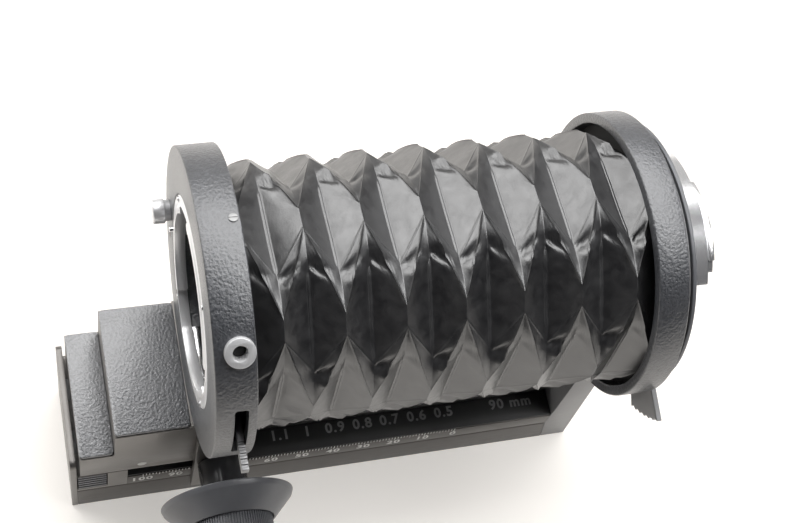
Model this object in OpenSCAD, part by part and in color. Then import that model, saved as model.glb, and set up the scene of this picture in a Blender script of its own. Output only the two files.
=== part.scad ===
// Macro bellows unit: a rail with a fixed camera standard, and a lens standard
// that a rack and pinion drives along it, joined by a folded light-tight bellows.
// X runs along the optical axis, from the lens end (-) to the camera end (+).
// Y runs away from the drive knob, Z is up. The origin is the mouth of the tripod
// socket, in the middle of the base. The unit is modelled fully extended.

/* [Travel] */
// Extension travel of the lens carriage
travel = 100; // [70:1:120]
// Gap between the carriage and the end plate at full extension
end_gap = 1; // [0.6:0.1:3]
// Gap between the carriage and the camera post when closed
post_gap = 2.1; // [1.5:0.1:6]

/* [Rail] */
// Width of the rail, the base and the carriage
rail_w = 39.6; // [38:0.2:46]
// Height of the base under the rail
base_h = 13.8; // [11:0.1:18]
// Height of the top plate's upper face above the table
rail_h = 21.7; // [20:0.1:28]
// Thickness of the black top plate
top_plate_t = 1; // [0.6:0.1:1.6]
// Bevel along the edges of the rail and the base
edge_bevel = 0.4; // [0.2:0.1:1]
// Depth of the recess under the base
base_recess = 2.5; // [1:0.5:4]
// Wall left round the recess under the base
base_wall = 5; // [3:0.5:8]

/* [Ends of the rail] */
// Thickness of the end plate
end_plate_t = 1.8; // [1.2:0.1:4]
// Height of the end plate
end_plate_h = 37; // [32:0.5:42]
// Length of the block at the lens end of the rail
end_block_len = 15.1; // [12:0.1:20]
// Height of the end block above the guide bars
end_block_rise = 0.1; // [0.05:0.05:0.3]
// Length of the ribbed catch
catch_len = 8.4; // [6:0.1:10]
// Depth of the ribbed catch into the end block
catch_d = 4; // [3:0.1:5]
// Number of ribs on the catch
catch_ribs = 5; // [3:1:7]
// Inward travel of the catch
catch_travel = 1.5; // [1:0.1:2]
// Radius of the end plate's fixing screws
plate_screw_r = 1.5; // [1:0.1:2]

/* [Guides and rack] */
// Width of each guide bar at its foot
guide_w = 6.4; // [5:0.1:6.8]
// Height of the guide bars
guide_h = 5.8; // [4.5:0.1:6]
// Undercut of each guide bar
guide_undercut = 1; // [0.5:0.1:1.5]
// Width of the gibs that run beside the guide bars
gib_w = 4; // [3:0.1:5]
// Module of the rack and the pinion
gear_module = 1; // [0.9:0.05:1.1]
// Number of pinion teeth
pinion_teeth = 12; // [12:1:14]
// Width of the rack
rack_w = 7; // [5:0.1:7.6]
// Gap beside the rack in its slot
rack_gap = 0.5; // [0.3:0.1:1]
// Distance of the guide bars from the rack's slot
edge_gap = 0.6; // [0.3:0.1:1]
// Width of the pinion
pinion_w = 6; // [4:0.1:7]
// Play between the rack and the pinion teeth
backlash = 0.16; // [0.12:0.01:0.3]

/* [Carriage] */
// Gap between the guide bars and the underside of the carriage
carriage_lift = 0.7; // [0.5:0.1:2]
// Length of the low step at the lens end
step_len = 10; // [6:0.5:16]
// Drop from the tall block to the low step
step_drop = 15.1; // [12:0.1:18]
// Length of the tall block
block_len = 21.4; // [16:0.1:28]
// Gap between the tall block and the lens ring above it
ring_gap = 0.9; // [0.6:0.1:2]
// Length of the carriage behind the lens ring
tail_len = 8; // [6:0.1:12]
// Thickness of the black covers on the carriage
cover_t = 1.2; // [0.8:0.1:2]
// Inset of the covers from the sides of the carriage
cover_inset = 0.3; // [0.2:0.1:0.8]
// Radius of the covers' upright corners
cover_corner = 1.2; // [0.6:0.1:2]

/* [Standards] */
// Height of the optical axis above the table
axis_h = 101; // [99:0.5:110]
// Outer radius of the lens ring
lens_ring_r = 41.2; // [40:0.1:42]
// Thickness of the lens ring along the axis
lens_ring_t = 10.5; // [9.5:0.1:14]
// Wall of the lens ring's rim
rim_wall = 3.2; // [2.4:0.1:4]
// Thickness of the lens ring's front wall
front_wall = 3; // [2.4:0.1:3.2]
// Outer radius of the camera ring
camera_ring_r = 40.2; // [39.5:0.1:41.5]
// Depth of the camera ring along the axis
camera_ring_t = 8.75; // [7:0.05:11]
// Wall of the camera ring's rim
camera_wall = 3; // [2:0.1:3.4]
// Thickness of the camera ring's back wall
camera_back = 2.5; // [2:0.1:3]
// Thickness of the camera post at its foot
post_foot_t = 10.8; // [9:0.1:14]
// Thickness of the camera post under the ring
post_top_t = 7.6; // [6:0.1:9]
// Distance of the camera ring's back from the post's outer face
ring_inset = 7; // [6.5:0.1:9]

/* [Lens and camera mounts] */
// Outer radius of the female bayonet
bayonet_r = 28.4; // [27.6:0.1:29.5]
// Width of the female bayonet's ring
bayonet_rim = 4.9; // [4:0.1:6]
// Thickness of the female bayonet
bayonet_t = 3; // [2.4:0.1:3.2]
// Height of the bayonet's face in front of the ring
bayonet_proud = 0.3; // [0.1:0.1:0.8]
// Height of the bayonet lugs beyond the bore
lug_h = 1.7; // [1:0.1:2]
// Step from the camera ring in to the rotating black flange
flange_step = 2.8; // [1.7:0.1:5]
// Thickness of the rotating flange
flange_t = 1.1; // [0.8:0.1:1.6]
// Thickness of the rotation lock ring
lock_ring_t = 1.6; // [1.2:0.1:2]
// Outer radius of the chrome camera mount
mount_ring_r = 30.3; // [29:0.1:31.5]
// Depth of the chrome camera mount
mount_ring_t = 7; // [5:0.1:9]
// Length of the male bayonet behind the chrome mount
male_len = 5.6; // [3.6:0.1:7]
// Wall of the male bayonet
male_wall = 3; // [2:0.1:4]
// Radial clearance of turning and sliding fits
fit = 0.05; // [0.02:0.01:0.09]
// Gap between faces that move past each other
face_gap = 0.3; // [0.2:0.05:0.4]

/* [Bellows] */
// Number of full folds
folds = 7; // [5:1:9]
// Number of sides round the bellows
sides = 8; // [6:2:8]
// Gap between the ridges and the inside of the camera ring
ridge_gap = 1.5; // [1:0.1:3]
// Depth of the valleys under the ridges
fold_depth = 5.3; // [4:0.1:7]
// Half length of the short ridges
ridge_half = 2.9; // [1.5:0.1:4]
// Turn of the folds about the axis
fold_turn = -5; // [-10:1:10]
// Thickness of the bellows' skin
skin_t = 0.6; // [0.4:0.1:1]
// Thickness of the frames at the ends of the bellows
frame_t = 1.1; // [0.8:0.1:2]

/* [Drive knob] */
// Radius of the drive shaft
shaft_r = 2.5; // [2:0.1:2.8]
// Radius of the clamp rod inside the drive shaft
clamp_rod_r = 1.2; // [1:0.1:1.4]
// Radius of the bearing collar
collar_r = 7.1; // [6:0.1:8]
// Length of the bearing collar
collar_len = 11.8; // [9:0.1:14]
// Radius of the knob at its back rim
knob_r = 19.8; // [17:0.1:22]
// Step in from the knob's back rim to its front rim
knob_taper = 1; // [0.4:0.1:2]
// Width of the knob's rim
knob_rim = 1.8; // [1:0.1:3]
// Height of the knob's cone
knob_cone = 5.8; // [4:0.1:8]
// Radius of the knurled clamp knob
clamp_r = 12.4; // [10:0.1:13.5]
// Length of the clamp knob
clamp_len = 10; // [7:0.1:13]
// Number of ribs on the clamp knob
clamp_ribs = 60; // [40:1:72]
// Thickness of the gear apron on the carriage
apron_t = 2.6; // [1.6:0.1:3.5]
// Width of the gear apron
apron_w = 15.8; // [15:0.1:17]

/* [Levers, buttons and sockets] */
// Radius of the lens release button
button_r = 3.6; // [3:0.1:4]
// Length of the button in front of the lens ring
button_len = 5; // [4.5:0.1:7]
// Travel of the button
button_travel = 1.2; // [0.8:0.1:1.3]
// Shift of the button in from the middle of the ring's face
button_shift = 0.2; // [0:0.1:0.4]
// Outer radius of the cable release socket
socket_r = 3.9; // [3.2:0.1:4.2]
// Radius of the cable release thread
socket_bore_r = 1.9; // [1.5:0.1:2.2]
// Height of the socket above the rim
socket_rise = 1.4; // [0.8:0.1:3]
// Width of the stop-down ring
sd_ring_w = 4; // [3:0.1:4.4]
// Travel of the stop-down lever in degrees
stop_down_turn = 18; // [12:1:22]
// Reach of the stop-down lever beyond the rim
stop_down_reach = 6.5; // [4:0.1:9]
// Reach of the rotation lock lever from the axis
lock_reach = 48.9; // [46:0.1:52]
// Travel of the rotation lock lever in degrees
lock_turn = 8; // [5:1:12]

// Radius of the index dots
dot_r = 1.4; // [1:0.1:1.8]
// Distance of the index dot from the end of the carriage
dot_x = 18.2; // [17:0.1:20]
// Height of the index dot above the underside of the carriage
dot_z = 3.6; // [2:0.1:5]

/* [Tripod socket] */
// Radius of the tripod thread, a quarter of an inch across
tripod_r = 3.175; // [3:0.025:3.3]
// Outer radius of the tripod bush
bush_r = 9; // [7:0.5:11]
// Depth of the tripod thread
tripod_depth = 8; // [6:0.5:9]

/* [Hidden] */
$fn = 96;

touch = 0.02;            // overlap of the shapes inside one solid
carriage_len = step_len + block_len + lens_ring_t + tail_len;
rail_len = end_gap + carriage_len + travel + post_gap + post_foot_t;
rail_x0 = -rail_len / 2;
rail_x1 = rail_len / 2;
post_x0 = rail_x1 - post_foot_t;
block_x1 = rail_x0 + end_block_len;
half_w = rail_w / 2;
body_top = rail_h - top_plate_t;
guide_top = rail_h + guide_h;

// Carriage stations, at full extension
car_x0 = rail_x0 + end_gap;
tall_x0 = car_x0 + step_len;
lens_x0 = tall_x0 + block_len;
lens_x1 = lens_x0 + lens_ring_t;
car_x1 = lens_x1 + tail_len;
car_z0 = guide_top + carriage_lift;
tall_z = axis_h - lens_ring_r - ring_gap;
step_z = tall_z - step_drop;

// Rack and pinion
pitch_r = gear_module * pinion_teeth / 2;
rack_pitch = PI * gear_module;
pressure = 25;
guide_y = rack_w / 2 + rack_gap + edge_gap;
slot_half = rack_w / 2 + rack_gap;
rack_line = guide_top - 1.5;
rack_foot = base_h + 3.2;
shaft_x = lens_x1 - lens_ring_t * 0.048;
shaft_z = rack_line + pitch_r;
pinion_pocket_r = pitch_r + 2.2 * gear_module;

// Camera end
bayonet_bore_r = bayonet_r - bayonet_rim;
cam_x1 = rail_x1 - ring_inset;
cam_x0 = cam_x1 - camera_ring_t;
cam_wall_x = cam_x1 - camera_back;
lock_x0 = cam_x1 + face_gap;
flange_x0 = lock_x0 + lock_ring_t + face_gap;
mount_x0 = flange_x0 + flange_t;
mount_x1 = mount_x0 + mount_ring_t;
male_r = bayonet_bore_r - 0.1;
lug_r = bayonet_bore_r + lug_h;
flange_r = camera_ring_r - flange_step;
hub_r = camera_ring_r - camera_wall - 2 * flange_step;
throat_r = male_r - male_wall;

// Bellows
ridge_r = camera_ring_r - camera_wall - ridge_gap;
valley_r = ridge_r - fold_depth;
bellows_x0 = lens_x1;
retainer_t = 1.2;
hub_x0 = cam_wall_x - face_gap;
bellows_x1 = hub_x0 - retainer_t - face_gap - frame_t * 0.7;
half_pitch = (bellows_x1 - bellows_x0) / (2 * folds);
frame_bore = valley_r - skin_t - 3;

// Lens ring
ring_bore = lens_ring_r - rim_wall;
bay_x0 = lens_x0 - bayonet_proud;
bay_x1 = bay_x0 + bayonet_t;
button_reach = (bayonet_r + lens_ring_r) / 2 - button_shift;
button_angle = -17;
pin_reach = bayonet_r - 0.275 * bayonet_rim;
link_t = 0.8;
link_gap = 0.3;
link_w = 2.8;
socket_angle = 132.7;
socket_sink = 0.5;
socket_x = lens_x0 + lens_ring_t * 0.6;
rim_screw_r = 1.15;
rim_screw_h = 0.4;
rim_screw_angles = [87, -3];
lever_angle = 181;
lever_x0 = lens_x1 - frame_t - 0.9 - 3.1;
lever_w = 3.1;
lever_t = 2.6;
slot_x0 = lever_x0 - 0.7;
slot_w = lever_w + 1.3;
sd_ring_in = bayonet_r + 1;
sd_ring_r = sd_ring_in + sd_ring_w;
socket_in = ring_bore - (ring_bore - sd_ring_r) * 0.435;
lock_angle = 205;

// ---- shared shapes ----

// A round bar along X from x0 to x1
module x_rod(x0, x1, r) {
    translate([x0, 0, axis_h]) rotate([0, 90, 0]) cylinder(h = x1 - x0, r = r);
}

// A tube along X, centred on the optical axis
module x_tube(x0, x1, r, bore) {
    difference() {
        x_rod(x0, x1, r);
        x_rod(x0 - 1, x1 + 1, bore);
    }
}

// A ring turned about the optical axis: the profile is [radius, distance behind x0]
module x_turned(x0, profile) {
    translate([x0, 0, axis_h]) rotate([0, 90, 0]) rotate_extrude() polygon(profile);
}

// Places a child that stands along +X at a radius and an angle on the optical axis;
// the angle is 0 at +Y, 90 at the top and 180 at the knob side
module on_axis(x, reach, angle) {
    translate([x, reach * cos(angle), axis_h + reach * sin(angle)]) children();
}

// Places a child that stands along +Z so that it points outwards from the optical axis
module outward(x, reach, angle) {
    on_axis(x, reach, angle) rotate([angle - 90, 0, 0]) children();
}

// A bar along X with the section given as [y, z] points
module x_bar(x0, x1, section) {
    translate([x0, 0, 0]) rotate([90, 0, 90]) linear_extrude(x1 - x0) polygon(section);
}

// A turned part on the drive shaft: the profile is [radius, distance towards the knob]
module on_shaft(y0, profile) {
    translate([shaft_x, y0, shaft_z]) rotate([90, 0, 0]) rotate_extrude() polygon(profile);
}

// A rod on the drive shaft's axis between two y places
module shaft_rod(y0, y1, r) {
    translate([shaft_x, y1, shaft_z]) rotate([90, 0, 0]) cylinder(h = y1 - y0, r = r);
}

// A wedge about the optical axis from x0 to x1, between two angles under 180 apart
module wedge(x0, x1, from, to, reach = 60) {
    n = 6;
    translate([x0, 0, axis_h]) rotate([90, 0, 90]) linear_extrude(x1 - x0) polygon([
        [0, 0], for (i = [0:n]) let (a = from + i * (to - from) / n) [reach * cos(a), reach * sin(a)]
    ]);
}

// A box from its lowest to its highest corner
module block(low, high) {
    translate(low) cube(high - low);
}

// A rounded plate lying flat, for the carriage covers
module cover_plate(x0, x1, z0) {
    w = rail_w - 2 * cover_inset;
    translate([(x0 + x1) / 2, 0, z0]) linear_extrude(cover_t)
        offset(r = cover_corner) square([x1 - x0 - 2 * cover_corner, w - 2 * cover_corner], center = true);
}

// A countersunk screw head that lies along +Z from the origin, with its slot
module slotted_head(r, h) {
    difference() {
        cylinder(h = h, r = r);
        translate([-r - 1, -r * 0.14, h * 0.55]) cube([2 * r + 2, r * 0.28, h]);
    }
}

// ---- rail ----

module rail_base() {
    slope = 2.5;
    recess_x0 = bush_r + 6;
    color("dimgray") difference() {
        rotate([90, 0, 0]) translate([0, 0, -half_w]) linear_extrude(rail_w) polygon([
            [rail_x0, 0], [post_x0 + slope, 0], [post_x0, base_h], [rail_x0, base_h]
        ]);
        for (s = [-1, 1]) translate([0, s * half_w, base_h])
            rotate([45, 0, 0]) cube([2 * rail_len, edge_bevel * 2, edge_bevel * 2], center = true);
        for (s = [0, 1]) mirror([s, 0, 0])
            block([recess_x0, -half_w + base_wall, -1],
                  [post_x0 - base_wall, half_w - base_wall, base_recess]);
        translate([0, 0, -1]) cylinder(h = tripod_depth + 3, r = bush_r);
    }
}

module tripod_bush() {
    color("silver") difference() {
        cylinder(h = tripod_depth + 2, r = bush_r);
        translate([0, 0, -1]) cylinder(h = tripod_depth + 1, r = tripod_r);
    }
}

module rail_body() {
    color("dimgray") difference() {
        x_bar(block_x1, post_x0, [
            [-half_w + edge_bevel, base_h], [half_w - edge_bevel, base_h], [half_w, base_h + edge_bevel],
            [half_w, body_top], [-half_w, body_top], [-half_w, base_h + edge_bevel]
        ]);
        block([block_x1 - 1, -slot_half, rack_foot], [post_x0 + 1, slot_half, body_top + 1]);
    }
}

module top_plate() {
    color("black") difference() {
        block([block_x1, -half_w + cover_inset, body_top], [post_x0, half_w - cover_inset, rail_h]);
        block([block_x1 - 1, -slot_half, body_top - 1], [post_x0 + 1, slot_half, rail_h + 1]);
    }
}

module guide_bar(side) {
    color("gray") x_bar(rail_x0, post_x0, [
        for (p = [[0, 0], [guide_w, 0], [guide_w + guide_undercut, guide_h], [0, guide_h]])
            [side * (guide_y + p[0]), rail_h + p[1]]
    ]);
}

module guide_bar_front() guide_bar(-1);
module guide_bar_rear() guide_bar(1);

// Outline of the rack: straight flanks at the pressure angle
function rack_tooth(x) = let (
    m = gear_module,
    w = (rack_pitch / 2 - backlash) / 2,
    t = tan(pressure)
) [
    [x - w - 1.25 * m * t, rack_line - 1.25 * m], [x - w + m * t, rack_line + m],
    [x + w - m * t, rack_line + m], [x + w + 1.25 * m * t, rack_line - 1.25 * m]
];

module rack() {
    below = floor((shaft_x - block_x1 - 3) / rack_pitch - 0.5);
    above = floor((post_x0 - 3 - shaft_x) / rack_pitch - 0.5);
    teeth = [for (i = [-below:above]) each rack_tooth(shaft_x + (i - 0.5) * rack_pitch)];
    color("silver") rotate([90, 0, 0]) translate([0, 0, -rack_w / 2]) linear_extrude(rack_w)
        polygon(concat([[block_x1, rack_foot], [block_x1, rack_line - 1.25 * gear_module]], teeth,
            [[post_x0, rack_line - 1.25 * gear_module], [post_x0, rack_foot]]));
}

catch_x0 = rail_x0 + 0.4;
catch_z0 = base_h + 2.2;
end_block_top = guide_top + end_block_rise;
catch_z1 = end_block_top - 0.7;
catch_pocket = catch_d + catch_travel + 0.5;

module end_block() {
    top = end_block_top;
    color("dimgray") difference() {
        x_bar(rail_x0, block_x1, [
            [-half_w + edge_bevel, base_h], [half_w - edge_bevel, base_h], [half_w, base_h + edge_bevel],
            [half_w, top - edge_bevel], [half_w - edge_bevel, top],
            [-half_w + edge_bevel, top], [-half_w, top - edge_bevel], [-half_w, base_h + edge_bevel]
        ]);
        for (s = [0, 1]) mirror([0, s, 0])
            block([rail_x0 - 1, guide_y, rail_h],
                  [block_x1 + 1, guide_y + guide_w + guide_undercut, top + 1]);
        block([catch_x0 - 5, -half_w - 1, catch_z0 - 0.3],
              [catch_x0 + catch_len + 0.3, -half_w + catch_pocket, catch_z1 + 0.3]);
    }
}

module end_catch() {
    rib = (catch_z1 - catch_z0) / (2 * catch_ribs + 1);
    color([0.16, 0.16, 0.17]) difference() {
        block([catch_x0, -half_w, catch_z0], [catch_x0 + catch_len, -half_w + catch_d, catch_z1]);
        for (i = [0:catch_ribs - 1])
            block([catch_x0 - 1, -half_w - 1, catch_z0 + rib * (2 * i + 1)],
                  [catch_x0 + catch_len + 1, -half_w + 0.5, catch_z0 + rib * (2 * i + 2)]);
    }
}

module end_plate() {
    r = 2.4;
    color([0.45, 0.45, 0.46]) difference() {
        translate([rail_x0 - end_plate_t, 0, 0]) rotate([90, 0, 90]) linear_extrude(end_plate_t) union() {
            translate([-half_w, 0]) square([rail_w, end_plate_h - r]);
            for (s = [-1, 1]) translate([s * (half_w - r), end_plate_h - r]) circle(r = r);
            translate([-half_w + r, end_plate_h - r - 1]) square([rail_w - 2 * r, r + 1]);
        }
        for (s = [-1, 1]) translate([rail_x0 - end_plate_t - 1, s * half_w * 0.6, base_h / 2])
            rotate([0, 90, 0]) cylinder(h = end_plate_t + 2, r = plate_screw_r);
    }
}

module end_plate_screws() {
    color("silver") for (s = [-1, 1])
        translate([rail_x0, s * half_w * 0.6, base_h / 2]) rotate([0, -90, 0])
            slotted_head(plate_screw_r - 0.02, end_plate_t);
}

// ---- camera standard ----

post_top_x1 = cam_x1 + 2.6;
saddle_top = axis_h - sqrt(pow(camera_ring_r, 2) - pow(half_w, 2)) - 0.6;
module camera_post() {
    color([0.5, 0.5, 0.51]) difference() {
        rotate([90, 0, 0]) translate([0, 0, -half_w]) linear_extrude(rail_w) polygon([
            [post_x0 + 2.5, 0], [rail_x1, 0], [post_top_x1, saddle_top],
            [post_top_x1 - post_top_t, saddle_top], [post_x0, guide_top + 0.4], [post_x0, base_h]
        ]);
        x_rod(post_x0 - 20, cam_x1, camera_ring_r);
        x_rod(cam_x1 - 1, rail_x1 + 20, camera_ring_r - 0.6);
        for (s = [-1, 1]) translate([post_x1(base_h * 0.6), s * half_w * 0.55, base_h * 0.6])
            rotate([0, 90, 0]) cylinder(h = 4, r = screw_seat_r);
    }
}

// Place of the post's outer face at a height
function post_x1(z) = rail_x1 - (rail_x1 - post_top_x1) * z / saddle_top - 1.4;
screw_seat_r = 2.2;

module post_screws() {
    color("silver") for (s = [-1, 1])
        translate([post_x1(base_h * 0.6), s * half_w * 0.55, base_h * 0.6]) rotate([0, 90, 0])
            slotted_head(screw_seat_r, 1.1);
}

module camera_ring() {
    c = 0.5;
    r = camera_ring_r;
    inner = r - camera_wall;
    color([0.2, 0.2, 0.21]) x_turned(cam_x0, [
        [inner, c], [inner + c, 0], [r - c, 0], [r, c], [r, camera_ring_t - c], [r - c, camera_ring_t],
        [hub_r + fit, camera_ring_t], [hub_r + fit, camera_ring_t - camera_back],
        [inner, camera_ring_t - camera_back]
    ]);
}

module lock_ring() {
    tab_in = flange_r - 1;
    half_a = 10;
    color([0.35, 0.35, 0.36]) difference() {
        union() {
            x_rod(lock_x0, lock_x0 + lock_ring_t, flange_r - 0.6);
            translate([lock_x0, 0, axis_h]) rotate([90, 0, 90]) linear_extrude(lock_ring_t) polygon([
                for (i = [0:12])
                    let (a = lock_angle - half_a + i * 2 * half_a / 12)
                    let (r = lock_reach - 3.2 * (i / 12) - (i % 2 == 0 ? 0 : 0.9))
                    [r * cos(a), r * sin(a)],
                [tab_in * cos(lock_angle + half_a), tab_in * sin(lock_angle + half_a)],
                [tab_in * cos(lock_angle - half_a), tab_in * sin(lock_angle - half_a)]
            ]);
        }
        x_rod(lock_x0 - 1, lock_x0 + lock_ring_t + 1, hub_r + fit);
    }
}

module rotating_flange() {
    color([0.08, 0.08, 0.08]) x_turned(hub_x0, [
        [throat_r + 4, 0], [hub_r, 0], [hub_r, flange_x0 - hub_x0],
        [flange_r, flange_x0 - hub_x0], [flange_r, mount_x0 - hub_x0],
        [throat_r + 4, mount_x0 - hub_x0]
    ]);
}

module mount_retainer() {
    color([0.3, 0.3, 0.3]) x_tube(hub_x0 - retainer_t, hub_x0, hub_r + 2, throat_r + 4);
}

gap_from = 136;
gap_to = 222;
base_ring_t = 1.5;
tube_r = male_r - 1;
male_groove = 0.9;
male_lug_t = 1.6;
male_lugs = [[67, 127], [232, 277], [307, 367]];

// The raised part of the mount is a ring that stays open on the knob side
module open_ring(x0, x1, r, bore) {
    difference() {
        x_tube(x0, x1, r, bore);
        wedge(x0 - 2, x1 + 2, gap_from, gap_to);
    }
}

module camera_mount() {
    color([0.85, 0.85, 0.86]) {
        x_tube(mount_x0, mount_x0 + base_ring_t, mount_ring_r + 1.7, tube_r + 0.01);
        open_ring(mount_x0 + base_ring_t - touch, mount_x1 - 0.01, mount_ring_r, tube_r + 0.01);
    }
}

module male_bayonet() {
    end = mount_x1 + male_len;
    lug_x0 = end - male_lug_t;
    color([0.8, 0.8, 0.81]) {
        x_tube(mount_x0, mount_x1 + 0.8, tube_r, throat_r);
        open_ring(mount_x1, lug_x0 - male_groove, male_r, throat_r);
        open_ring(lug_x0 - male_groove - touch, end, tube_r, throat_r);
        for (a = male_lugs) intersection() {
            x_tube(lug_x0, end, male_r, throat_r);
            wedge(lug_x0 - 1, end + 1, a[0], a[1]);
        }
    }
}

module mount_screws() {
    reach = (mount_ring_r + male_r) / 2;
    color("gray") for (a = [64, 122, 250, 340])
        on_axis(mount_x1, reach, a) rotate([0, 90, 0]) slotted_head(1.2, 0.3);
}

// ---- bellows ----

// One ring of the folded skin: sides in valley run straight between two pinch points,
// and the sides between them stand up to a short ridge
function fold_ring(i, inset) = let (
    step = 360 / sides,
    apothem = valley_r - inset,
    pinch_half = (ridge_r - inset) * 0.37,
    ridge_mid = ridge_r - inset,
    x = bellows_x0 + i * half_pitch
) [
    for (k = [0:sides / 2 - 1])
        let (a = 90 + fold_turn + (2 * k + (i % 2 == 0 ? 1 : 0)) * step, b = a + step)
        each [
            for (p = [[a, apothem, -pinch_half], [a, apothem, pinch_half],
                      [b, ridge_mid, -ridge_half], [b, ridge_mid, ridge_half]])
                [x, p[1] * cos(p[0]) - p[2] * sin(p[0]), axis_h + p[1] * sin(p[0]) + p[2] * cos(p[0])]
        ]
];

// Faces between ring i and ring i + 1, which is the same ring turned by one side:
// its points start one side later, or earlier, by two places in the list
function band(i, n, base, flip) = let (
    shift = (i % 2 == 0) ? -2 : 2,
    p = base + i * n,
    q = base + (i + 1) * n
) [
    for (j = [0:n - 1])
        let (k = (j + 1) % n, u = (j - shift + n) % n, v = (k - shift + n) % n)
        let (two = (j % 2 == 0)
            ? [[p + j, p + k, q + v], [p + j, q + v, q + u]]
            : ((j % 4 == 1) ? [[p + j, p + k, q + u], [p + k, q + v, q + u]]
                            : [[p + j, p + k, q + v], [p + j, q + v, q + u]]))
        each [for (t = two) flip ? t : [t[2], t[1], t[0]]]
];

module bellows() {
    n = 2 * sides;
    rings = 2 * folds + 1;
    outer = [for (i = [0:rings - 1]) each fold_ring(i, 0)];
    inner = [for (i = [0:rings - 1]) each fold_ring(i, skin_t)];
    last = (rings - 1) * n;
    m = rings * n;
    color([0.12, 0.12, 0.12]) polyhedron(concat(outer, inner), concat(
        [for (i = [0:rings - 2]) each band(i, n, 0, false)],
        [for (i = [0:rings - 2]) each band(i, n, m, true)],
        [for (j = [0:n - 1]) let (k = (j + 1) % n) each [[j, k, m + k], [j, m + k, m + j]]],
        [for (j = [0:n - 1]) let (k = (j + 1) % n)
            each [[last + k, last + j, m + last + j], [last + k, m + last + j, m + last + k]]]
    ));
}

module bellows_front_frame() {
    color([0.1, 0.1, 0.1]) x_tube(lens_x1 - frame_t, lens_x1, ring_bore, frame_bore);
}

module bellows_rear_frame() {
    color([0.1, 0.1, 0.1])
        x_tube(bellows_x1, bellows_x1 + frame_t * 0.7, camera_ring_r - camera_wall, frame_bore);
}

// ---- lens carriage ----

clamp_seat = 8;
clamp_y1 = pinion_w / 2 + clamp_seat;
module carriage_body() {
    color("dimgray") difference() {
        rotate([90, 0, 0]) translate([0, 0, -half_w]) linear_extrude(rail_w) polygon([
            [car_x0, car_z0], [car_x1, car_z0], [car_x1, tall_z], [lens_x0, tall_z],
            [lens_x0, tall_z - cover_t], [tall_x0, tall_z - cover_t], [tall_x0, step_z - cover_t],
            [car_x0, step_z - cover_t]
        ]);
        shaft_rod(-half_w - 1, clamp_y1, shaft_r + fit);
        shaft_rod(clamp_y1 - touch, clamp_y1 + 3, shaft_r + 1.6);
        shaft_rod(-pinion_w / 2 - 0.5, pinion_w / 2 + 0.5, pinion_pocket_r);
        dot_place(car_x0 + dot_x, car_z0 + dot_z, 1);
    }
}

// The index dot sits in a shallow seat in the carriage's side
module dot_place(x, z, out) {
    translate([x, -half_w + 0.3, z]) rotate([90, 0, 0]) cylinder(h = 0.3 + out, r = dot_r);
}

module carriage_cover() {
    color([0.2, 0.2, 0.21]) cover_plate(tall_x0, lens_x0, tall_z - cover_t);
}

module step_cover() {
    color([0.2, 0.2, 0.21]) cover_plate(car_x0, tall_x0 - 0.05, step_z - cover_t);
}

module slide_gib(side) {
    gap = face_gap + 0.1;
    y0 = guide_y + guide_w + gap;
    color("gray") x_bar(block_x1 + 1, car_x1, [
        for (p = [[y0, rail_h + gap], [y0 + guide_undercut, rail_h + guide_h],
                  [y0 + guide_undercut, car_z0], [y0 + gib_w, car_z0], [y0 + gib_w, rail_h + gap]])
            [side * p[0], p[1]]
    ]);
}

module slide_gib_front() slide_gib(-1);
module slide_gib_rear() slide_gib(1);

module gear_apron() {
    y0 = -half_w - apron_t;
    y1 = -half_w;
    color("dimgray") difference() {
        x_bar(shaft_x - apron_w / 2, shaft_x + apron_w / 2, [
            [y0, base_h - 3], [y1 - face_gap, base_h - 3], [y1 - face_gap, car_z0], [y1, car_z0],
            [y1, step_z + 6], [y0, step_z + 6]
        ]);
        shaft_rod(y0 - 1, y1 + 1, shaft_r + fit);
    }
}

module shaft_collar() {
    c = 0.8;
    color([0.1, 0.1, 0.1]) on_shaft(-half_w - apron_t, [
        [shaft_r + fit, 0], [collar_r, 0], [collar_r, collar_len - c], [collar_r - c, collar_len],
        [shaft_r + fit, collar_len]
    ]);
}

module lens_pedestal() {
    half = rail_w * 0.404;
    color([0.15, 0.15, 0.15]) difference() {
        block([lens_x0 + 0.4, -half, tall_z], [lens_x1 - 0.4, half, axis_h - lens_ring_r * 0.9]);
        x_rod(lens_x0 - 1, lens_x1 + 1, lens_ring_r);
    }
}

// ---- lens standard ----

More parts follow.
